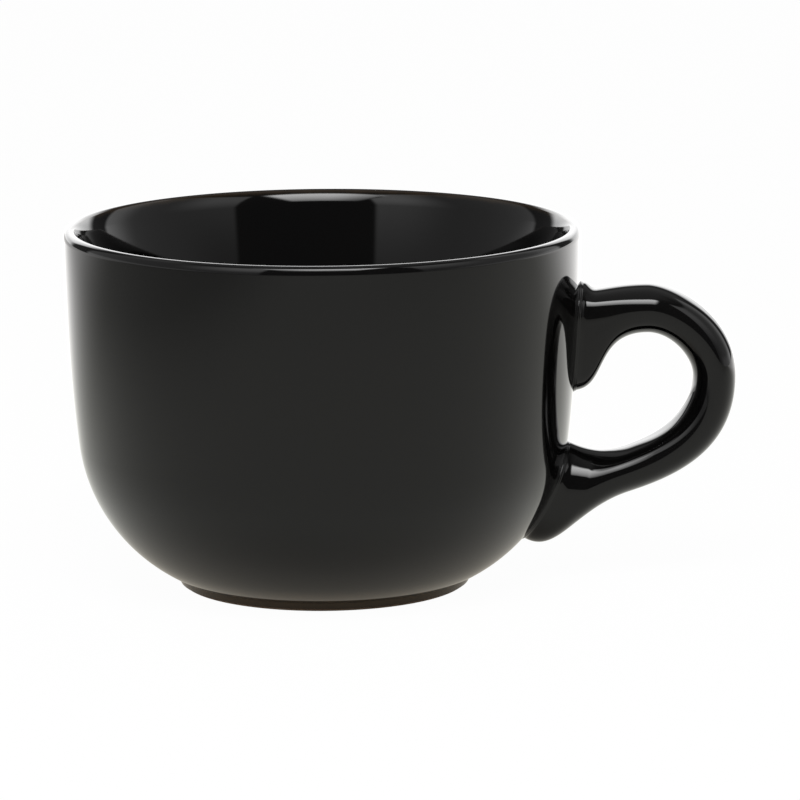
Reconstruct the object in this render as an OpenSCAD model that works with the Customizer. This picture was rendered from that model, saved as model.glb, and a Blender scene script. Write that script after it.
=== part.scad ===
// Wide cappuccino mug: a stoneware bowl, a looped strap handle, the slip that joins them and the glaze.
// Millimetres. The mug stands on z = 0 with its axis on Z, and the handle points along +X.

/* [Bowl] */
// Outside diameter of the glazed rim
rim_d = 120; // [104:1:140]
// Height of the glazed lip above the table
cup_h = 84; // [78:1:120]
// Thickness of the glazed wall below the flare of the mouth
wall_t = 8.6; // [6.5:0.1:10]
// Section radius of the tall, nearly straight side
side_r = 390; // [250:5:600]
// Section radius of the round belly between the side and the foot
belly_r = 40; // [34:0.5:50]
// Section radius of the turn from the inside wall to the floor
heel_r = 28; // [20:1:34]
// Height of the glazed inside floor above the table
floor_z = 9; // [7:0.1:14]

/* [Lip] */
// Thickness of the glazed crest of the lip
lip_t = 3.8; // [3:0.1:5]
// Section radius of the shoulder from the crest to the outside
shoulder_r = 3; // [2.4:0.1:6]
// Section radius of the shoulder from the crest to the inside
mouth_r = 8.5; // [5:0.1:12]
// Section radius of the flare from the inner shoulder to the inside wall
flare_r = 70; // [50:1:100]
// Steepness in degrees of the surface where the crest runs into the outer shoulder
shoulder_turn = 64; // [40:1:70]
// Steepness in degrees of the surface where the crest runs into the inner shoulder
mouth_turn = 45; // [40:1:58]

/* [Foot] */
// Diameter of the foot ring where the belly meets it
foot_d = 68.8; // [56:0.2:80]
// Height of the foot ring
foot_h = 2.1; // [1.8:0.1:5]
// Amount that the outside of the ring leans in towards the table
foot_lean = 0.8; // [0:0.1:2]
// Width of the ring, from its outside at the table to the recess
foot_w = 4.6; // [3:0.1:8]
// Round on the ring's outer edge at the table
foot_edge = 0.5; // [0.2:0.1:1]
// Depth of the recess under the base
recess_h = 1.8; // [1.4:0.1:3]

/* [Handle] */
// Reach of the handle past the rim
handle_out = 36.2; // [30:0.1:48]
// Height of the outermost point of the loop above the table
handle_mid = 48.4; // [44:0.2:52]
// Distance past the rim of the crest of the upper strap
crest_out = 15.4; // [12:0.1:19]
// Height of the top of the finger gap
gap_top = 58.5; // [54:0.1:62]
// Height of the finger gap's lower side where the lower strap leaves its turn
gap_bottom = 30.4; // [26:0.1:35]
// Distance past the rim of that place
gap_low_out = 8; // [5:0.5:12]
// Thickness of the glazed strap round the loop
strap_t = 10.1; // [7:0.1:13]
// Thickness of the glazed upper strap at its crest
crest_t = 11.5; // [8:0.1:14]
// Width of the glazed strap, seen from the end of the handle
strap_w = 16.4; // [11:0.1:21]
// Slope of the lower strap in degrees
strap_slope = 18; // [10:1:28]
// Roundness of the strap's section, where 2 is a plain oval and more has flatter sides
section_power = 2.2; // [2:0.1:4]

/* [Handle roots] */
// Height of the top of the upper root
upper_root_top = 70.4; // [67:0.2:73]
// Height of the bottom of the upper root, the toe
upper_root_bottom = 45.2; // [42:0.1:49]
// Height of the top of the lower root
lower_root_top = 33; // [29:0.1:36]
// Height of the bottom of the lower root, the tail
lower_root_bottom = 9.9; // [8:0.1:14]
// Width of the glazed strap at the upper root
upper_root_w = 16.6; // [12:0.1:23]
// Width of the glazed strap at the lower root
lower_root_w = 18; // [12:0.1:23]
// Roundness of the section at the upper root, which has flatter sides than the strap
upper_root_power = 3.6; // [2:0.1:4]
// Roundness of the section at the lower root
lower_root_power = 2.6; // [2:0.1:4]

/* [Slip joints] */
// Height of the glazed bead of slip above the bowl's glaze
bead_h = 0.9; // [0.6:0.1:2]
// Width of the glazed bead of slip that shows round each root
bead_w = 0.4; // [0.3:0.1:1.5]

/* [Glaze] */
// Thickness of the fired glaze
glaze_t = 0.3; // [0.2:0.05:0.5]
// Height of the bare clay band above the table
bare_h = 0.6; // [0.4:0.1:1]

/* [Hidden] */

$fn = 180;
clay_colour = [0.72, 0.64, 0.54];
slip_colour = [0.80, 0.73, 0.63];
glaze_colour = [0.07, 0.07, 0.075];

// Steps along the curves of the bowl's section
belly_steps = 16;
side_steps = 6;
lip_steps = 6;
edge_steps = 4;

// Clay surfaces lie one glaze thickness inside the glazed ones
clay = -glaze_t;

// Lip section: the crest arc runs into the outer shoulder, which is upright at the rim,
// and on the other side into the inner shoulder.
rim_r = rim_d / 2;
foot_r = foot_d / 2;
lip_r = lip_t / 2;
crest_out_end = 90 - shoulder_turn;
crest_in_end = 90 + mouth_turn;
shoulder_c = [rim_r - shoulder_r, cup_h - lip_r - (shoulder_r - lip_r) * sin(crest_out_end)];
lip_c = shoulder_c + polar(shoulder_r - lip_r, crest_out_end);
mouth_c = lip_c - polar(mouth_r - lip_r, crest_in_end);

// Outside section: the side arc is upright under the shoulder and runs on into the belly arc,
// which ends at the crease above the foot ring.
side_c = [rim_r - side_r, shoulder_c.y];
crease = [foot_r, foot_h];
belly_c = meeting(side_c, side_r - belly_r, crease, belly_r, 1);
side_end = angle_of(belly_c - side_c);
belly_end = angle_of(crease - belly_c);

// Inside section: the flare, the wall parallel to the side, then the heel arc to the flat floor
inner_r = side_r - wall_t;
flare_c = meeting(side_c, inner_r + flare_r, mouth_c, flare_r - mouth_r, -1);
flare_start = angle_of(mouth_c - flare_c);
flare_end = angle_of(side_c - flare_c);
wall_start = angle_of(flare_c - side_c);
heel_z = floor_z + heel_r;
heel_c = [side_c.x + sqrt((inner_r - heel_r)^2 - (heel_z - side_c.y)^2), heel_z];
heel_end = angle_of(heel_c - side_c);

// Foot ring: outside at the table in bare clay, and the wall of the recess
ring_r = foot_r - foot_lean - glaze_t;
recess_r = ring_r - foot_w;
recess_fillet = recess_h - bare_h;

function angle_of(v) = atan2(v.y, v.x);
function polar(r, a) = r * [cos(a), sin(a)];
function reversed(list) = [for (i = [len(list) - 1 : -1 : 0]) list[i]];
// Point at distance ra from a and rb from b, to the left of the way from a to b if side is 1
function meeting(a, ra, b, rb, side) =
    let (d = norm(b - a), to_b = (b - a) / d)
    let (along = (d^2 + ra^2 - rb^2) / (2 * d))
    a + along * to_b + side * sqrt(ra^2 - along^2) * [-to_b.y, to_b.x];
function arc(c, r, a0, a1, steps) = [for (i = [0 : steps]) c + polar(r, a0 + (a1 - a0) * i / steps)];

// Lines of the bowl's section, moved out of the glazed surface by grow
function outer_line(grow) = concat(
    arc(belly_c, belly_r + grow, belly_end, side_end, belly_steps),
    arc(side_c, side_r + grow, side_end, 0, side_steps));
function outer_lip(grow) = concat(
    arc(shoulder_c, shoulder_r + grow, 0, crest_out_end, lip_steps),
    arc(lip_c, lip_r + grow, crest_out_end, 90, lip_steps));
function inner_lip(grow) = concat(
    arc(lip_c, lip_r + grow, 90, crest_in_end, lip_steps),
    arc(mouth_c, mouth_r + grow, crest_in_end, flare_start, lip_steps),
    arc(flare_c, flare_r + grow, flare_start, flare_end, side_steps));
function inner_line(grow) = concat(
    arc(side_c, inner_r - grow, wall_start, heel_end, side_steps),
    arc(heel_c, heel_r - grow, heel_end, -90, belly_steps),
    [[0, floor_z + grow]]);
function recess_line(inset) = concat(
    [[0, recess_h - inset]],
    arc([recess_r, recess_h] - recess_fillet * [1, 1], recess_fillet - inset, 90, 0, edge_steps));
function foot_side(z, inset) = [foot_r - foot_lean * (1 - z / foot_h) - inset, z];

// Radius of the bowl's outside at a height, moved out by grow
function outer_radius(z, grow) =
    let (c = z > belly_c.y + (belly_r + grow) * sin(side_end) ? side_c : belly_c)
    let (r = (c == side_c ? side_r : belly_r) + grow)
    c.x + sqrt(r^2 - (z - c.y)^2);
// Point on the outside of the bowl, seen along X from the handle's side
function seat(y, z, grow) = [sqrt(outer_radius(z, grow)^2 - y^2), y, z];

// Handle outline: each rail is four Bezier pieces from the upper root to the lower root.
// A piece is its start, the two points that pull it, and its end.
neck_pull = [2.6, -2.7];
crest_pull = 7.3;
toe_pull = [7, 1.1];
toe_rise_pull = 12.2;
outer_crest_pull = [0.3, 0.66];
inner_crest_pull = [0.53, 0.39];
outer_turn_pull = [0.67, 0.44];
inner_turn_pull = [0.49, 0.6];
tail_leave_pull = 13;
tail_pull = [7.5, -4.4];
low_leave_pull = 1.7;
low_seat_pull = [1.2, -2.4];

function seat_point(z) = [outer_radius(z, bead_h), z];
outer_nodes = [
    seat_point(upper_root_top),
    [rim_r + crest_out, gap_top + crest_t],
    [rim_r + handle_out, handle_mid],
    [rim_r + gap_low_out, gap_bottom] + polar(strap_t, strap_slope - 90),
    seat_point(lower_root_bottom)];
inner_nodes = [
    seat_point(upper_root_bottom),
    [rim_r + crest_out, gap_top],
    [rim_r + handle_out - strap_t, handle_mid],
    [rim_r + gap_low_out, gap_bottom],
    seat_point(lower_root_top)];

function crest_piece(a, b, pull) = [a, a + [pull.x * (b.x - a.x), 0], b + [0, pull.y * (a.y - b.y)], b];
function turn_piece(a, b, pull) =
    [a, a + [0, pull.x * (b.y - a.y)], b + polar(pull.y * (a.x - b.x), strap_slope), b];

outer_rail = [
    [outer_nodes[0], outer_nodes[0] + neck_pull, outer_nodes[1] - [crest_pull, 0], outer_nodes[1]],
    crest_piece(outer_nodes[1], outer_nodes[2], outer_crest_pull),
    turn_piece(outer_nodes[2], outer_nodes[3], outer_turn_pull),
    [outer_nodes[3], outer_nodes[3] - polar(tail_leave_pull, strap_slope),
     outer_nodes[4] + tail_pull, outer_nodes[4]]];
inner_rail = [
    [inner_nodes[0], inner_nodes[0] + toe_pull, inner_nodes[1] - [toe_rise_pull, 0], inner_nodes[1]],
    crest_piece(inner_nodes[1], inner_nodes[2], inner_crest_pull),
    turn_piece(inner_nodes[2], inner_nodes[3], inner_turn_pull),
    [inner_nodes[3], inner_nodes[3] - polar(low_leave_pull, strap_slope),
     inner_nodes[4] + low_seat_pull, inner_nodes[4]]];

pieces = len(outer_rail);
piece_steps = 10;
ring_sides = 28;
ring_steps = pieces * piece_steps;

function bezier(p, t) =
    p[0] * (1 - t)^3 + 3 * p[1] * (1 - t)^2 * t + 3 * p[2] * (1 - t) * t^2 + p[3] * t^3;
function on_rail(rail, step) =
    let (i = min(floor(step / piece_steps), pieces - 1))
    bezier(rail[i], step / piece_steps - i);

// Share of a root left at a step: 1 at the bowl, 0 from the end of the root's piece
function root_share(step) = max(0, 1 - min(step, ring_steps - step) / piece_steps);
function eased(share) = share^2 * (3 - 2 * share);
// Size at a step of something that has one value along the strap and others at the two roots
function along(step, strap, upper, lower) =
    strap + ((step < ring_steps / 2 ? upper : lower) - strap) * eased(root_share(step));
function rounded(v, power) = sign(v) * abs(v)^(2 / power);

// One ring of the strap before it is fitted to the bowl, moved out of the glazed surface by grow
// and shrunk to a share of its size
function plain_ring(step, grow, share = 1) =
    let (o = on_rail(outer_rail, step), i = on_rail(inner_rail, step))
    let (middle = (o + i) / 2, half = norm(o - i) / 2, across = (o - i) / norm(o - i))
    let (half_w = along(step, strap_w, upper_root_w, lower_root_w) / 2)
    let (power = along(step, section_power, upper_root_power, lower_root_power))
    [for (k = [0 : ring_sides - 1])
        let (a = 360 * k / ring_sides)
        let (p = middle + across * (half + grow) * rounded(cos(a), power) * share)
        [p.x, (half_w + grow) * rounded(sin(a), power) * share, p.y]];
// The ring at a root, laid on the bowl's outside at a height above its glaze
function seated_ring(step, grow, height, share = 1) =
    [for (p = plain_ring(step, grow, share)) seat(p.y, p.z, height)];
// A ring of the handle: near a root it bends towards the seated form
function handle_ring(step, grow) =
    let (end = step < ring_steps / 2 ? 0 : ring_steps)
    let (bent = seated_ring(end, grow, bead_h + grow) - plain_ring(end, grow))
    plain_ring(step, grow) + root_share(step)^2 * bent;
// Rings of the handle from root to root, and of the bead at a root from the bowl's clay outwards
function handle_rings(grow) = [for (step = [0 : ring_steps]) handle_ring(step, grow)];
function bead_rings(step, grow) =
    [seated_ring(step, bead_w + grow, clay), seated_ring(step, bead_w + grow, bead_h + grow)];

// Inner rings that close the end of the handle over its seat
cap_shares = [1 / 3, 2 / 3];
function cap_rings(step) = [for (s = cap_shares) seated_ring(step, clay, bead_h + clay, s)];

function flat(lists) = [for (list = lists) each list];
// Triangles between rings that follow each other, back to the first ring if closed
function band_faces(count, closed) = [
    for (i = [0 : count - (closed ? 1 : 2)], k = [0 : ring_sides - 1])
        let (a = i * ring_sides, b = (i + 1) % count * ring_sides, n = (k + 1) % ring_sides)
        each [[a + k, a + n, b + n], [a + k, b + n, b + k]]];

// Outline of a root with its bead, pushed along X through the wall of the bowl
module root_prism(step, spread) {
    rotate([90, 0, 90])
        linear_extrude(rim_r + handle_out)
            polygon([for (p = plain_ring(step, spread)) [p.y, p.z]]);
}

module slip_joint(step) {
    color(slip_colour)
        intersection() {
            rotate_extrude()
                polygon(concat(outer_line(bead_h + clay), reversed(outer_line(clay))));
            root_prism(step, bead_w + clay);
        }
}

module bowl() {
    color(clay_colour)
        rotate_extrude()
            polygon(concat(
                recess_line(0),
                [[recess_r, 0]],
                arc([ring_r - foot_edge, foot_edge], foot_edge, -90, 0, edge_steps),
                [foot_side(foot_h, glaze_t)],
                outer_line(clay),
                outer_lip(clay),
                inner_lip(clay),
                inner_line(clay)));
}

module handle() {
    rings = concat(cap_rings(0), handle_rings(clay), reversed(cap_rings(ring_steps)));
    tip = len(rings) * ring_sides;
    last_ring = tip - ring_sides;
    tips = [for (step = [0, ring_steps]) seated_ring(step, clay, bead_h + clay, 0)[0]];
    color(clay_colour)
        polyhedron(
            points = concat(flat(rings), tips),
            faces = concat(
                band_faces(len(rings), false),
                [for (k = [0 : ring_sides - 1]) [(k + 1) % ring_sides, k, tip]],
                [for (k = [0 : ring_sides - 1])
                    [last_ring + k, last_ring + (k + 1) % ring_sides, tip + 1]]));
}

module upper_slip_joint() {
    slip_joint(0);
}

module lower_slip_joint() {
    slip_joint(ring_steps);
}

module inner_glaze() {
    color(glaze_colour)
        rotate_extrude()
            polygon(concat(
                inner_lip(0),
                inner_line(0),
                reversed(inner_line(clay)),
                reversed(inner_lip(clay))));
}

module outer_glaze() {
    color(glaze_colour)
        difference() {
            rotate_extrude()
                polygon(concat(
                    [foot_side(bare_h, 0)],
                    outer_line(0),
                    outer_lip(0),
                    reversed(outer_lip(clay)),
                    reversed(outer_line(clay)),
                    [foot_side(foot_h, glaze_t), foot_side(bare_h, glaze_t)]));
            root_prism(0, bead_w);
            root_prism(ring_steps, bead_w);
        }
}

module handle_glaze() {
    inside = concat(bead_rings(0, clay), handle_rings(clay), reversed(bead_rings(ring_steps, clay)));
    outside = concat(bead_rings(0, 0), handle_rings(0), reversed(bead_rings(ring_steps, 0)));
    rings = concat(outside, reversed(inside));
    color(glaze_colour)
        polyhedron(points = flat(rings), faces = band_faces(len(rings), true));
}

module base_glaze() {
    color(glaze_colour)
        rotate_extrude()
            polygon(concat(recess_line(glaze_t), reversed(recess_line(0))));
}

bowl();
handle();
upper_slip_joint();
lower_slip_joint();
inner_glaze();
outer_glaze();
handle_glaze();
base_glaze();
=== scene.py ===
from math import atan2, ceil, cos, degrees, pi, radians, sin, sqrt

import bpy
from mathutils import Matrix, Vector


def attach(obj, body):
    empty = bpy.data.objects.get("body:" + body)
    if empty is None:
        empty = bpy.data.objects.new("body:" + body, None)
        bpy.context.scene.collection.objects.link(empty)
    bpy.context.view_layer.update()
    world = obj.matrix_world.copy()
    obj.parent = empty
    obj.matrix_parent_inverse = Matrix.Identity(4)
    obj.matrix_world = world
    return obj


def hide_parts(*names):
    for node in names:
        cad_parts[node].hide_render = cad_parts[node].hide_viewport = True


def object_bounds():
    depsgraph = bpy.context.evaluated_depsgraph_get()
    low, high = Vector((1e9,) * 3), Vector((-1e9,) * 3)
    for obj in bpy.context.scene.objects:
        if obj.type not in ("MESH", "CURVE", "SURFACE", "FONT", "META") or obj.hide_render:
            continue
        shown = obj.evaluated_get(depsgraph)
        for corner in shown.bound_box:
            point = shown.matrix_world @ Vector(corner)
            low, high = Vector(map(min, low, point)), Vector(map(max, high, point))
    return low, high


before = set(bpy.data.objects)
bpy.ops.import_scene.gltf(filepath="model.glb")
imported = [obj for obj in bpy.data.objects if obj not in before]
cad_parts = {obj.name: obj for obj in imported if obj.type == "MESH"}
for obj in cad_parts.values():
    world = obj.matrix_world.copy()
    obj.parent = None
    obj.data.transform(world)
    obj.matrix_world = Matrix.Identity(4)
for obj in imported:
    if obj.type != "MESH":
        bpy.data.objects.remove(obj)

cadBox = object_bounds()
scene = bpy.context.scene
scene.view_settings.view_transform = "Standard"
mm = 0.001
tiny = 1e-6  # millimetres between points that count as one
print("frame loaded:", ", ".join(sorted(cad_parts)))


# camera, read from the rim and foot ellipses
cameraSettings = {
    "eye": (0, -1.17888, 0.26701),
    "aim": (0.017856, -0.000031, 0.042695),
    "roll": 0.3,  # degrees
    "lens": 231.5, "sensor": 36,
    "clip": 0.05,
}


def makeCamera(s):
    data = bpy.data.cameras.new("photoCamera")
    data.lens = s["lens"]
    data.sensor_width = s["sensor"]
    data.clip_start = s["clip"]
    cam = bpy.data.objects.new("photoCamera", data)
    eye, aim = Vector(s["eye"]), Vector(s["aim"])
    turn = (eye - aim).to_track_quat("Z", "Y").to_matrix() @ Matrix.Rotation(-radians(s["roll"]), 3, "Z")
    cam.matrix_world = Matrix.Translation(eye) @ turn.to_4x4()
    scene.collection.objects.link(cam)
    scene.camera = cam


makeCamera(cameraSettings)
print("camera set")


# glazed bowl, sizes in millimetres; the lip and the throat below it are finer than on the solid
bowlSettings = {
    "rimD": 120, "cupH": 84, "wallT": 8.6, "sideR": 390, "bellyR": 40, "heelR": 28, "floorZ": 9,
    "lipT": 2.8, "shoulderR": 3, "mouthR": 8.5, "flareR": 70, "throatR": 190,
    "shoulderTurn": 64, "mouthTurn": 52, "flareLean": 15.5,  # degrees
    "footD": 68.8, "footH": 2.1, "footLean": 0.8, "footW": 4.6, "footEdge": 0.5,
    "recessH": 1.8, "bareH": 0.6, "glazeT": 0.3,
    "turns": 248,  # faces round the axis
    "step": 1.2,   # longest face along the section
    "bend": 2,     # most degrees that a face turns
}


def polar(r, a):
    return Vector((r * cos(radians(a)), r * sin(radians(a))))


def angleOf(v):
    return degrees(atan2(v.y, v.x))


# point at distance ra from a and rb from b, left of the way from a to b if side is 1
def meeting(a, ra, b, rb, side):
    way = b - a
    d = way.length
    along = (d * d + ra * ra - rb * rb) / (2 * d)
    return a + way * (along / d) + Vector((-way.y, way.x)) * (side * sqrt(ra * ra - along * along) / d)


# centres and joining angles of the section's arcs
def bowlSection(s):
    b = dict(s)
    b["rimR"], b["footR"], b["lipR"] = s["rimD"] / 2, s["footD"] / 2, s["lipT"] / 2
    b["crestOut"], b["crestIn"] = 90 - s["shoulderTurn"], 90 + s["mouthTurn"]
    drop = (s["shoulderR"] - b["lipR"]) * sin(radians(b["crestOut"]))
    b["shoulderC"] = Vector((b["rimR"] - s["shoulderR"], s["cupH"] - b["lipR"] - drop))
    b["lipC"] = b["shoulderC"] + polar(s["shoulderR"] - b["lipR"], b["crestOut"])
    b["mouthC"] = b["lipC"] - polar(s["mouthR"] - b["lipR"], b["crestIn"])
    b["sideC"] = Vector((b["rimR"] - s["sideR"], b["shoulderC"].y))
    crease = Vector((b["footR"], s["footH"]))
    b["bellyC"] = meeting(b["sideC"], s["sideR"] - s["bellyR"], crease, s["bellyR"], 1)
    b["sideEnd"] = angleOf(b["bellyC"] - b["sideC"])
    b["bellyEnd"] = angleOf(crease - b["bellyC"])
    b["innerR"] = s["sideR"] - s["wallT"]
    b["flareStart"] = 180 - s["flareLean"]
    b["flareC"] = b["mouthC"] - polar(s["flareR"] - s["mouthR"], b["flareStart"])
    b["throatC"] = meeting(b["sideC"], b["innerR"] + s["throatR"],
                           b["flareC"], s["throatR"] - s["flareR"], -1)
    b["throatStart"] = angleOf(b["flareC"] - b["throatC"])
    b["throatEnd"] = angleOf(b["sideC"] - b["throatC"])
    b["wallStart"] = angleOf(b["throatC"] - b["sideC"])
    heelZ = s["floorZ"] + s["heelR"]
    reach = sqrt((b["innerR"] - s["heelR"]) ** 2 - (heelZ - b["sideC"].y) ** 2)
    b["heelC"] = Vector((b["sideC"].x + reach, heelZ))
    b["heelEnd"] = angleOf(b["heelC"] - b["sideC"])
    b["ringR"] = b["footR"] - s["footLean"] - s["glazeT"]
    b["recessR"] = b["ringR"] - s["footW"]
    b["fillet"] = s["recessH"] - s["bareH"]
    return b


bowl = bowlSection(bowlSettings)


# stations along an arc of the section: point and surface normal
def arc(c, r, a0, a1, outward=1):
    count = ceil(max(abs(radians(a1 - a0)) * r / bowl["step"], abs(a1 - a0) / bowl["bend"]))
    turns = [a0 + (a1 - a0) * i / count for i in range(count + 1)]
    return [(c + polar(r, a), polar(outward, a)) for a in turns]


# level stretch between two radii
def floorRun(r0, r1, z, up):
    count = ceil(abs(r1 - r0) / bowl["step"])
    return [(Vector((r0 + (r1 - r0) * i / count, z)), Vector((0, up))) for i in range(count + 1)]


# straight run with its own normal
def straight(p, q):
    n = Vector((q.y - p.y, p.x - q.x)).normalized()
    return [(p, n), (q, n)]


# joins stations into one line and leaves out repeated points
def joined(*runs):
    line = []
    for run in runs:
        for p, n in run:
            if not line or (p - line[-1][0]).length > tiny:
                line.append((p, n))
    return line


def backwards(line):
    return [(p, -n) for p, n in reversed(line)]


# lines of the section, moved out of the glazed surface by grow
def outsideLine(grow):
    b = bowl
    return joined(
        arc(b["bellyC"], b["bellyR"] + grow, b["bellyEnd"], b["sideEnd"]),
        arc(b["sideC"], b["sideR"] + grow, b["sideEnd"], 0),
        arc(b["shoulderC"], b["shoulderR"] + grow, 0, b["crestOut"]),
        arc(b["lipC"], b["lipR"] + grow, b["crestOut"], 90))


def insideLine(grow):
    b = bowl
    return joined(
        arc(b["lipC"], b["lipR"] + grow, 90, b["crestIn"]),
        arc(b["mouthC"], b["mouthR"] + grow, b["crestIn"], b["flareStart"]),
        arc(b["flareC"], b["flareR"] + grow, b["flareStart"], b["throatStart"]),
        arc(b["throatC"], b["throatR"] + grow, b["throatStart"], b["throatEnd"]),
        arc(b["sideC"], b["innerR"] - grow, b["wallStart"], b["heelEnd"], -1),
        arc(b["heelC"], b["heelR"] - grow, b["heelEnd"], -90, -1),
        floorRun(b["heelC"].x, 0, b["floorZ"] + grow, 1))


# recess under the base, moved out of its clay by grow
def recessLine(grow):
    b = bowl
    c = Vector((b["recessR"], b["recessH"])) - Vector((b["fillet"], b["fillet"]))
    return joined(
        floorRun(0, c.x, b["recessH"] - grow, -1),
        arc(c, b["fillet"] - grow, 90, 0, -1))


# point on the side of the foot ring at a height
def footSide(z, inset):
    b = bowl
    return Vector((b["footR"] - b["footLean"] * (1 - z / b["footH"]) - inset, z))


def makePiece(name, verts, faces, smooth=True):
    mesh = bpy.data.meshes.new(name)
    mesh.from_pydata(verts, [], faces)
    mesh.polygons.foreach_set("use_smooth", [smooth] * len(faces))
    piece = bpy.data.objects.new(name, mesh)
    scene.collection.objects.link(piece)
    return piece


# points of a closed section, and its spans: two point numbers and their normals
def sectionSpans(runs):
    points, spans = [], []
    for run in runs:
        ids = []
        for p, n in run:
            if points and (points[-1] - p).length < tiny:
                ids.append(len(points) - 1)
            elif points and (points[0] - p).length < tiny:
                ids.append(0)
            else:
                points.append(p)
                ids.append(len(points) - 1)
        spans += [(ids[i], ids[i + 1], run[i][1], run[i + 1][1]) for i in range(len(run) - 1)]
    return points, spans


# runs follow each other round the piece's section, each smooth in itself
def spin(name, runs):
    turns = bowl["turns"]
    squeeze = cadBox[1][1] / (bowl["rimR"] * mm)  # keeps the round inside the solid's facets
    points, spans = sectionSpans(runs)
    verts, first = [], []
    for p in points:
        first.append(len(verts))
        for k in range(turns if p.x > tiny else 1):
            a = radians(360 * k / turns)
            verts.append((p.x * cos(a) * mm, p.x * sin(a) * squeeze * mm, p.y * mm))
    faces, normals = [], []
    for i, j, ni, nj in spans:
        onAxis = points[i].x < tiny, points[j].x < tiny
        if all(onAxis) or i == j:
            continue
        for k in range(turns):
            m = (k + 1) % turns
            corners = [(i, k, ni), (i, m, ni), (j, m, nj), (j, k, nj)]
            if onAxis[0]:
                corners = [(i, k, ni), (j, m, nj), (j, k, nj)]
            if onAxis[1]:
                corners = [(i, k, ni), (i, m, ni), (j, k, nj)]
            faces.append([first[q] + (t if points[q].x > tiny else 0) for q, t, n in corners])
            for q, t, n in corners:
                a = radians(360 * t / turns)
                normals.append((n.x * cos(a), n.x * sin(a), n.y))
    piece = makePiece(name, verts, faces)
    piece.data.normals_split_custom_set(normals)
    return piece


clay = -bowl["glazeT"]  # moves the glazed surface in to the clay
outside, inside, recess = outsideLine(0), insideLine(0), recessLine(bowl["glazeT"])
outsideClay, insideClay, recessClay = outsideLine(clay), insideLine(clay), recessLine(0)
footTop, footBand = (footSide(bowl[z], 0) for z in ("footH", "bareH"))
footTopClay, footBandClay = (footSide(bowl[z], bowl["glazeT"]) for z in ("footH", "bareH"))

outerGlaze = spin("outerGlaze", [
    straight(footBand, footTop),
    outside,
    straight(outside[-1][0], outsideClay[-1][0]),
    backwards(outsideClay),
    straight(outsideClay[0][0], footTopClay),
    straight(footTopClay, footBandClay),
    straight(footBandClay, footBand)])
innerGlaze = spin("innerGlaze", [
    inside,
    backwards(insideClay),
    straight(insideClay[0][0], inside[0][0])])
baseGlaze = spin("baseGlaze", [
    recess,
    straight(recess[-1][0], recessClay[-1][0]),
    backwards(recessClay)])
ringEdge = arc(Vector((bowl["ringR"] - bowl["footEdge"], bowl["footEdge"])), bowl["footEdge"], -90, 0)
recessFoot = Vector((bowl["recessR"], 0))
bowlClay = spin("bowlClay", [
    recessClay,
    straight(recessClay[-1][0], recessFoot),
    straight(recessFoot, ringEdge[0][0]),
    ringEdge,
    straight(ringEdge[-1][0], footTopClay),
    straight(footTopClay, outsideClay[0][0]),
    outsideClay,
    insideClay])
print("bowl made:", len(outerGlaze.data.polygons) + len(innerGlaze.data.polygons), "glaze faces")


# strap handle, sizes in millimetres; the roots and the gap's lower edge are finer than on the solid
strap = {
    "out": 36.2, "mid": 48.4, "crestOut": 15.4, "gapTop": 58.5, "gapBottom": 30.4, "gapLowOut": 8,
    "strapT": 10.1, "crestT": 11.5, "strapW": 16.4, "slope": 18, "power": 2.2,
    "upperW": 16.6, "lowerW": 16.8, "upperPower": 2.5, "lowerPower": 2.4,
    "upperCap": 5.75, "lowerCap": 8.5,  # height of a root's rounded edges
    "facePower": 4,                     # flatness of the face between them
    "upperTop": 68.75, "upperBottom": 45.2, "lowerTop": 29.6, "lowerBottom": 9.9,
    "upperEar": (1.65, 2.9), "lowerEar": (3, 8.5),  # slip drawn up the bowl: height and reach
    "earPowers": (6, 8),                            # how close to the edge it stays
    # swells of the gap's lower edge: height, distance from the seam and reach
    "lowerSwells": [(0.84, 6, 8), (-0.36, 21.5, 7.3)],
    # last spread of the strap before a seam: width and reach
    "upperFlare": (0.35, 1.2), "lowerFlare": (0.3, 2.6),
    # pulls of the rails' handles, alone or as shares of a turn
    "neckPull": (4.5, 0.1), "crestPull": 7.3, "toePull": (7, 1.1), "toeRisePull": 12.2,
    "outerCrestPull": (0.3, 0.66), "innerCrestPull": (0.53, 0.39),
    "outerTurnPull": (0.67, 0.44), "innerTurnPull": (0.49, 0.6),
    "tailLeavePull": 13, "tailPull": (7.5, -4.4), "lowLeavePull": 4.6, "lowSeatPull": (2.4, 0.2),
    "beadH": 0.9, "beadW": 0.4,
    "steps": 44,   # rings along each stretch of the rails
    "sides": 112,  # points round a ring
}


# radius of the bowl's outside at a height, moved out by grow
def outerRadius(z, grow):
    b = bowl
    onSide = z > b["bellyC"].y + (b["bellyR"] + grow) * sin(radians(b["sideEnd"]))
    c, r = (b["sideC"], b["sideR"] + grow) if onSide else (b["bellyC"], b["bellyR"] + grow)
    return c.x + sqrt(r * r - (z - c.y) ** 2)


def seat(y, z, height):
    return Vector((sqrt(outerRadius(z, height) ** 2 - y * y), y, z))


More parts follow.
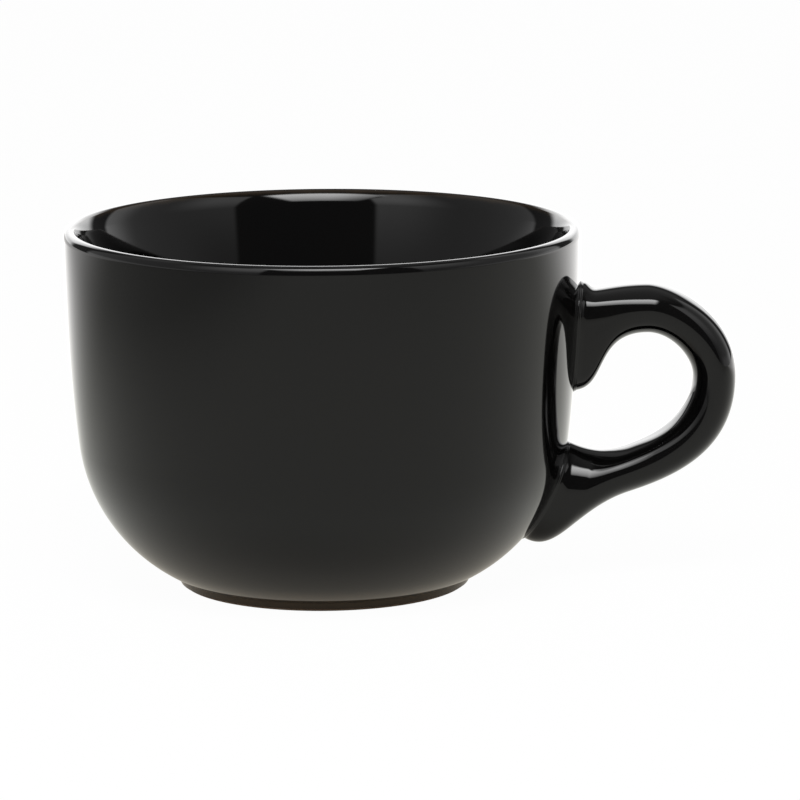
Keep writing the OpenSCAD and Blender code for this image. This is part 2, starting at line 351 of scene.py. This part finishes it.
# two rails of four curves, each with two handles, from the upper root to the lower one
def makeRails(s):
    def onBowl(z):
        return Vector((outerRadius(z, s["beadH"]), z))

    def crestTurn(a, b, pull):
        return [a, a + Vector((pull[0] * (b.x - a.x), 0)), b + Vector((0, pull[1] * (a.y - b.y))), b]

    def lowTurn(a, b, pull):
        return [a, a + Vector((0, pull[0] * (b.y - a.y))), b + polar(pull[1] * (a.x - b.x), s["slope"]), b]

    rimR = bowl["rimR"]
    low = Vector((rimR + s["gapLowOut"], s["gapBottom"]))
    o = [onBowl(s["upperTop"]),
         Vector((rimR + s["crestOut"], s["gapTop"] + s["crestT"])),
         Vector((rimR + s["out"], s["mid"])),
         low + polar(s["strapT"], s["slope"] - 90),
         onBowl(s["lowerBottom"])]
    i = [onBowl(s["upperBottom"]),
         Vector((rimR + s["crestOut"], s["gapTop"])),
         Vector((rimR + s["out"] - s["strapT"], s["mid"])),
         low,
         onBowl(s["lowerTop"])]
    outer = [
        [o[0], o[0] + Vector(s["neckPull"]), o[1] - Vector((s["crestPull"], 0)), o[1]],
        crestTurn(o[1], o[2], s["outerCrestPull"]),
        lowTurn(o[2], o[3], s["outerTurnPull"]),
        [o[3], o[3] - polar(s["tailLeavePull"], s["slope"]), o[4] + Vector(s["tailPull"]), o[4]]]
    inner = [
        [i[0], i[0] + Vector(s["toePull"]), i[1] - Vector((s["toeRisePull"], 0)), i[1]],
        crestTurn(i[1], i[2], s["innerCrestPull"]),
        lowTurn(i[2], i[3], s["innerTurnPull"]),
        [i[3], i[3] - polar(s["lowLeavePull"], s["slope"]), i[4] + Vector(s["lowSeatPull"]), i[4]]]
    return outer, inner


outerRail, innerRail = makeRails(strap)
ringCount = len(outerRail) * strap["steps"]


def onRail(rail, step):
    i = min(step // strap["steps"], len(rail) - 1)
    t = step / strap["steps"] - i
    p = rail[i]
    return p[0] * (1 - t) ** 3 + 3 * p[1] * (1 - t) ** 2 * t + 3 * p[2] * (1 - t) * t * t + p[3] * t ** 3


def rounded(v, power):
    return (1 if v >= 0 else -1) * abs(v) ** (2 / power)


def eased(t):
    return t * t * (3 - 2 * t)


def isUpper(step):
    return step < ringCount / 2


# 1 at the bowl, 0 from the end of the root's stretch
def rootShare(step):
    return max(0, 1 - min(step, ringCount - step) / strap["steps"])


# a size that differs along the strap and at its two roots
def along(step, middle, upper, lower):
    return middle + ((upper if isUpper(step) else lower) - middle) * eased(rootShare(step))


# how far the outer edge of the upper half and the inner edge of the lower half are drawn out
def ears(step):
    if isUpper(step):
        height, reach = strap["upperEar"]
        away = onRail(outerRail, step).x - outerRail[0][0].x
        return height * eased(max(0, 1 - away / reach)), 0
    height, reach = strap["lowerEar"]
    away = onRail(innerRail, step).x - innerRail[-1][3].x
    lower = height * max(0, 1 - away / reach) ** 2
    for swell, at, spread in strap["lowerSwells"]:
        lower += swell * max(0, 1 - ((away - at) / spread) ** 2) ** 2
    return 0, lower


def flare(step, middle):
    end = 0 if isUpper(step) else ringCount
    start = (onRail(outerRail, end) + onRail(innerRail, end)) / 2
    width, reach = strap["upperFlare" if isUpper(step) else "lowerFlare"]
    return width * max(0, 1 - (middle - start).length / reach) ** 2


# a ring of the strap before it is bent to the bowl
def plainRing(step, grow):
    o, i = onRail(outerRail, step), onRail(innerRail, step)
    middle, half, across = (o + i) / 2, (o - i).length / 2, (o - i).normalized()
    halfW = along(step, strap["strapW"], strap["upperW"], strap["lowerW"]) / 2 + flare(step, middle)
    power = along(step, strap["power"], strap["upperPower"], strap["lowerPower"])
    cap = min(half, strap["upperCap" if isUpper(step) else "lowerCap"])
    upper, lower = ears(step)
    upperPower, lowerPower = strap["earPowers"]
    ring = []
    for k in range(strap["sides"]):
        a = radians(360 * k / strap["sides"])
        u = rounded(cos(a), power)
        face = (1 - (1 - abs(u)) ** strap["facePower"]) * (1 if u > 0 else -1)
        tip = upper * max(0, u) ** upperPower - lower * max(0, -u) ** lowerPower
        p = middle + across * ((cap + grow) * u + (half - cap) * face + tip)
        ring.append(Vector((p.x, (halfW + grow) * rounded(sin(a), power), p.y)))
    return ring


def seatedRing(step, grow, height):
    return [seat(p.y, p.z, height) for p in plainRing(step, grow)]


def handleRings(grow):
    rings = []
    for step in range(ringCount + 1):
        end = 0 if isUpper(step) else ringCount
        bent = zip(plainRing(step, grow), seatedRing(end, grow, strap["beadH"] + grow), plainRing(end, grow))
        rings.append([p + (s - q) * rootShare(step) ** 2 for p, s, q in bent])
    return rings


def slipRings(step):
    return [seatedRing(step, strap["beadW"] + clay, h) for h in (clay, strap["beadH"] + clay)]


# bead of glaze round a root, with two ridges: spread from the strap and height over the bowl
beadSettings = {
    "section": [
        (0.06, -0.2), (0.06, 0.05), (0.04, 0.13), (-0.01, 0.2), (-0.08, 0.25), (-0.13, 0.31), (-0.13, 0.38),
        (-0.15, 0.45), (-0.2, 0.53), (-0.27, 0.6), (-0.32, 0.65), (-0.35, 0.7), (-0.36, 0.76)],
}


def beadRings(step):
    return [seatedRing(step, strap["beadW"] + u, v) for u, v in beadSettings["section"]]


# skin between rings that follow each other in a closed loop
def skin(name, rings):
    sides = len(rings[0])
    faces = []
    for i in range(len(rings)):
        a, b = i * sides, (i + 1) % len(rings) * sides
        for k in range(sides):
            n = (k + 1) % sides
            faces.append((a + n, a + k, b + k, b + n))
    return makePiece(name, [p * mm for ring in rings for p in ring], faces)


# solid between rings, closed by a fan at each end
def closedSkin(name, rings):
    sides, last = len(rings[0]), (len(rings) - 1) * len(rings[0])
    verts = [p * mm for ring in rings for p in ring]
    verts += [sum(ring, Vector()) * (mm / sides) for ring in (rings[0], rings[-1])]
    faces = []
    for k in range(sides):
        n = (k + 1) % sides
        faces += [(i + n, i + k, i + sides + k, i + sides + n) for i in range(0, last, sides)]
        faces += [(k, n, last + sides), (last + n, last + k, last + sides + 1)]
    return makePiece(name, verts, faces, False)


handleClay = closedSkin("handleClay", handleRings(clay))
upperSlip = closedSkin("upperSlip", slipRings(0))
lowerSlip = closedSkin("lowerSlip", slipRings(ringCount)[::-1])
glazeIn = slipRings(0) + handleRings(clay) + slipRings(ringCount)[::-1]
glazeOut = beadRings(0) + handleRings(0) + beadRings(ringCount)[::-1]
handleGlaze = skin("handleGlaze", glazeOut + glazeIn[::-1])
print("handle made:", len(handleGlaze.data.polygons), "faces")


# one output socket of a node tree; sums on it add Math nodes
class Wire:
    def __init__(self, tree, socket=None):
        self.tree, self.socket = tree, socket

    # any node: its type, settings that are set first, values or links by socket name, and the output wanted
    def node(self, kind, settings=None, sockets=None, out=0):
        made = self.tree.nodes.new(kind)
        for key, value in (settings or {}).items():
            setattr(made, key, value)
        for key, value in (sockets or {}).items():
            if isinstance(value, Wire):
                self.tree.links.new(value.socket, made.inputs[key])
            else:
                made.inputs[key].default_value = value
        return Wire(self.tree, made.outputs[out] if made.outputs else None)

    def math(self, kind, other=None, flip=False):
        pair = [self] if other is None else [other, self] if flip else [self, other]
        return self.node("ShaderNodeMath", {"operation": kind}, dict(enumerate(pair)))

    def __add__(self, other):
        return self.math("ADD", other)

    def __sub__(self, other):
        return self.math("SUBTRACT", other)

    def __rsub__(self, other):
        return self.math("SUBTRACT", other, True)

    def __mul__(self, other):
        return self.math("MULTIPLY", other)

    def __neg__(self):
        return self * -1

    __radd__, __rmul__ = __add__, __mul__

    # 0 up to a and 1 from b on, smooth between; b may be the lower one
    def rise(self, a, b):
        return self.node("ShaderNodeMapRange", {"interpolation_type": "SMOOTHSTEP"},
                         {"Value": self, "From Min": a, "From Max": b})

    # a Mix node's sockets share names, so they go by number
    def mix(self, a, b):
        return self.node("ShaderNodeMix", {"data_type": "RGBA"}, {0: self, 6: a, 7: b}, 2)

    def tinted(self, tint):
        return self.node("ShaderNodeMix", {"data_type": "RGBA", "blend_type": "MULTIPLY"},
                         {0: 1, 6: self, 7: tint}, 2)

    def outputs(self, *names):
        return [Wire(self.tree, self.socket.node.outputs[name]) for name in names]

    def axes(self):
        return self.node("ShaderNodeSeparateXYZ", None, {"Vector": self}).outputs("X", "Y", "Z")

    def length(self):
        return self.node("ShaderNodeVectorMath", {"operation": "LENGTH"}, {0: self}, "Value")

    # noise at this place
    def noise(self, scale, detail=2, rough=0.5):
        return self.node("ShaderNodeTexNoise", None,
                         {"Vector": self, "Scale": scale, "Detail": detail, "Roughness": rough})


def newMaterial(name):
    material = bpy.data.materials.new(name)
    material.use_nodes = True
    material.node_tree.nodes.clear()
    start = Wire(material.node_tree)
    return material, start, start.node("ShaderNodeTexCoord", out="Object")


def finishMaterial(start, sockets):
    surface = start.node("ShaderNodeBsdfPrincipled", None, sockets)
    start.node("ShaderNodeOutputMaterial", None, {"Surface": surface})


# noises: scale, detail and roughness; bands: metres of height, or from the middle of the standing face
glazeSettings = {
    "black": (0.0012, 0.0012, 0.0014, 1),
    "blackWarm": (0.0020, 0.0018, 0.0016, 1),
    "cloud": (28, 4, 0.6),
    "edge": (0.055, 0.035, 0.018, 1),  # brown where the glaze runs thin
    "ragged": (260, 3), "raggedMid": 0.5, "raggedBy": 0.0010,
    "lipBand": (0.0826, 0.0840), "lipInside": (0.1022, 0.1014), "lipThin": 0.28,
    "footBand": (0.0070, 0.0020), "footOutside": (0.0265, 0.0300),
    "ior": 1.34,
    "rough": (0.035, 0.065), "roughCloud": (120, 3),
    "wave": (42, 1, 0.4), "waveH": 0.000004,
    "peel": (900, 2), "peelH": 0.0000006,
}


def makeGlaze(s):
    material, start, place = newMaterial("blackGlaze")
    base = place.noise(*s["cloud"]).mix(s["black"], s["blackWarm"])
    height = place.axes()[2] + (place.noise(*s["ragged"]) - s["raggedMid"]) * s["raggedBy"]
    away = place.length()
    lip = height.rise(*s["lipBand"]) * away.rise(*s["lipInside"])
    foot = height.rise(*s["footBand"]) * away.rise(*s["footOutside"])
    thin = (lip * s["lipThin"] + foot).math("MINIMUM", 1)
    smooth, dull = s["rough"]
    rough = place.noise(*s["roughCloud"]) * (dull - smooth) + smooth
    swell = place.noise(*s["wave"]) * s["waveH"] + place.noise(*s["peel"]) * s["peelH"]
    normal = start.node("ShaderNodeBump", None, {"Height": swell, "Strength": 1, "Distance": 1})
    finishMaterial(start, {"Base Color": thin.mix(base, s["edge"]), "Roughness": rough, "Normal": normal,
                           "IOR": s["ior"]})
    return material


claySettings = {
    "buff": (0.36, 0.25, 0.17, 1),
    "toast": (0.24, 0.155, 0.10, 1),
    "cloud": (90, 5, 0.6), "toasted": (0.3, 0.7),
    "speck": (0.07, 0.045, 0.03, 1), "speckScale": 700, "speckSize": (0.22, 0.10),
    "rough": (0.72, 0.9),
    "sand": (2400, 4, 0.6), "grain": 0.00004,
}
slipSettings = dict(claySettings, buff=(0.45, 0.34, 0.25, 1), toast=(0.38, 0.28, 0.20, 1))


def makeClay(name, s):
    material, start, place = newMaterial(name)
    base = place.noise(*s["cloud"]).rise(*s["toasted"]).mix(s["buff"], s["toast"])
    grit = start.node("ShaderNodeTexVoronoi", {"feature": "F1"},
                      {"Vector": place, "Scale": s["speckScale"]}, "Distance")
    colour = grit.rise(*s["speckSize"]).mix(base, s["speck"])
    sand = place.noise(*s["sand"])
    smooth, dull = s["rough"]
    rough = sand * (dull - smooth) + smooth
    normal = start.node("ShaderNodeBump", None, {"Height": sand * s["grain"], "Strength": 1, "Distance": 1})
    finishMaterial(start, {"Base Color": colour, "Roughness": rough, "Normal": normal})
    return material


glaze = makeGlaze(glazeSettings)
bareClay = makeClay("bareClay", claySettings)
joinSlip = makeClay("joinSlip", slipSettings)

for piece, slotName, node, material in [
        (outerGlaze, "glaze", "outer_glaze", glaze),
        (innerGlaze, "glaze", "inner_glaze", glaze),
        (handleGlaze, "glaze", "handle_glaze", glaze),
        (baseGlaze, "glaze", "base_glaze", glaze),
        (bowlClay, "clay", "bowl", bareClay),
        (handleClay, "clay", "handle", bareClay),
        (upperSlip, "slip", "upper_slip_joint", joinSlip),
        (lowerSlip, "slip", "lower_slip_joint", joinSlip)]:
    piece.data.materials.append(material)
    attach(piece, "root")
    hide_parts(node)
print("materials set")


white = (1, 1, 1, 1)


def rayKinds(start):
    return start.node("ShaderNodeLightPath").outputs("Is Camera Ray", "Is Transmission Ray", "Is Glossy Ray")


# pale floor, and a painted pool of light on it, with painted shade round the foot, for the glaze to mirror
floorSettings = {
    "r": 4.0, "edges": 96, "grey": 0.62,
    "seenWhite": 0.975, "mirroredWhite": 0.75,  # shares of plain light in it
    "near": (1.03, 1.03, 0.95, 1),
    "front": (0.69, 0.69, 0.63, 1), "frontFrom": (0.05, -0.5),  # y, towards the camera
    "behind": (3.0, 2.96, 2.92, 1), "behindFrom": (0.08, 0.4),  # y, the foot of the sweep
    "aside": (0.5, 0.5, 0.5, 1), "asideFrom": (-0.1, -0.4),     # x, painted shade that leaves this share of the light far to the left
    "under": (0.62, 0.58, 0.54, 1), "underTo": (0.08, 0.036),   # and painted shade round the foot, by distance
}


def makeFloor(s):
    bpy.ops.mesh.primitive_circle_add(vertices=s["edges"], radius=s["r"], fill_type="NGON",
                                      location=(0, 0, 0))
    floor = bpy.context.object
    floor.name = "paleFloor"
    material, start, place = newMaterial("paleFloor")
    camera, through, mirrored = rayKinds(start)
    lit = start.node("ShaderNodeBsdfDiffuse", None, {"Color": (s["grey"], s["grey"], s["grey"], 1)})
    seen = start.node("ShaderNodeEmission", None, {"Color": white, "Strength": 1})
    x, y = place.axes()[:2]
    # painted pool of light and shade: emission that the glaze mirrors in place of three quarters of the lit
    # floor
    paintedPool = y.rise(*s["frontFrom"]).mix(s["near"], s["front"])
    paintedPool = y.rise(*s["behindFrom"]).mix(paintedPool, s["behind"])
    paintedPool = paintedPool.tinted(x.rise(*s["asideFrom"]).mix(white, s["aside"]))
    paintedPool = paintedPool.tinted(place.length().rise(*s["underTo"]).mix(white, s["under"]))
    glow = start.node("ShaderNodeEmission", None, {"Color": paintedPool, "Strength": 1})
    shares = (camera + through) * s["seenWhite"], mirrored * s["mirroredWhite"]
    plain = start.node("ShaderNodeMixShader", None, {0: shares[0], 1: lit, 2: seen})
    both = start.node("ShaderNodeMixShader", None, {0: shares[1], 1: plain, 2: glow})
    start.node("ShaderNodeOutputMaterial", None, {"Surface": both})
    floor.data.materials.append(material)


# softbox over the camera's side of the mug
softboxSettings = {
    "size": (0.81, 0.80), "at": (-0.03, -0.765, 0.884),
    "glow": (21, 2.5),            # radiance at the end over the mug and at the end over the camera
    "left": 0.25, "leftTo": 0.5,  # share of it at the left edge, and where it is whole
    "fade": 0.12,                 # share of the width that fades out at each edge
}


def makeSoftbox(s):
    data = bpy.data.lights.new("softbox", "AREA")
    data.shape = "RECTANGLE"
    data.size, data.size_y = s["size"]
    data.energy = data.size * data.size_y * pi  # watts for a radiance of 1
    data.use_nodes = True
    data.node_tree.nodes.clear()
    start = Wire(data.node_tree)
    u, v = start.node("ShaderNodeNewGeometry", out="Parametric").axes()[:2]
    over, front = s["glow"]
    level = (v * (over - front) + front) * (u.rise(0, s["leftTo"]) * (1 - s["left"]) + s["left"])
    for edge in (u, 1 - u, v, 1 - v):
        level = level * edge.rise(0, s["fade"])
    glow = start.node("ShaderNodeEmission", None, {"Color": white, "Strength": level})
    start.node("ShaderNodeOutputLight", None, {"Surface": glow})
    lamp = bpy.data.objects.new("softbox", data)
    lamp.location = s["at"]
    lamp.visible_camera = False
    scene.collection.objects.link(lamp)


# sweep behind and a screen on each side, with an open front; places are in degrees, up from the horizon and
# sideways from the camera, and a glow is a level, the heights (None for all) and the sides where it comes in
tentSettings = {
    "dim": 0.11,
    "ceiling": 0.35, "ceilingUp": (54, 74), "rearSide": (90, 130), "rearUp": (34, 50),
    "sweepSide": (142, 150), "sweepTop": (34, 24),
    "sweepGlow": (2.2, 1.6), "sweepUp": (6, 18),  # level at the foot, and what is added above
    "right": {
        "front": (43, 46), "rear": (131, 127), "top": (54, 50), "lean": (0, 40, 50), "plain": 0.57,
        "glows": [(1.2, (12, 44), (92, 60)), (0.65, None, (104, 122)),
                  (-0.25, (22, 8), (80, 48)), (0.5, (9, 3), (50, 75))]},
    "left": {
        "front": (26, 29), "rear": (128, 124), "top": (58, 53), "lean": (10, 40, 50), "plain": 0.5,
        "glows": [(2.0, (8, 40), (76, 40)), (0.6, (9, 3), (45, 70))]},
}


def makeScreen(side, up, s):
    glow = s["plain"]
    for level, heights, sides in s["glows"]:
        patch = side.rise(*sides) * level
        glow = glow + (patch * up.rise(*heights) if heights else patch)
    lean, low, high = s["lean"]  # degrees that the front edge leans back, and the heights where it does
    front = side - up.rise(low, high) * lean
    return front.rise(*s["front"]) * side.rise(*s["rear"]) * up.rise(*s["top"]) * glow


def makeTent(s):
    world = bpy.data.worlds.new("studio")
    scene.world = world
    world.use_nodes = True
    world.node_tree.nodes.clear()
    start = Wire(world.node_tree)
    camera = rayKinds(start)[0]
    x, y, z = start.node("ShaderNodeTexCoord", out="Generated").axes()
    side = x.math("ARCTAN2", -y) * degrees(1)  # 0 towards the camera, + to the right
    up = z.math("ARCSINE") * degrees(1)
    aside = side.math("ABSOLUTE")
    foot, above = s["sweepGlow"]
    sweep = aside.rise(*s["sweepSide"]) * up.rise(*s["sweepTop"]) * (up.rise(*s["sweepUp"]) * above + foot)
    rear = aside.rise(*s["rearSide"]) * up.rise(*s["rearUp"])
    ceiling = up.rise(*s["ceilingUp"]).math("MAXIMUM", rear) * s["ceiling"]
    screens = makeScreen(side, up, s["right"]) + makeScreen(-side, up, s["left"])
    level = (1 - camera) * (sweep + screens + ceiling + s["dim"]) + camera
    shade = start.node("ShaderNodeBackground", None, {"Color": white, "Strength": level})
    start.node("ShaderNodeOutputWorld", None, {"Surface": shade})


makeFloor(floorSettings)
makeSoftbox(softboxSettings)
makeTent(tentSettings)
print("studio lit")
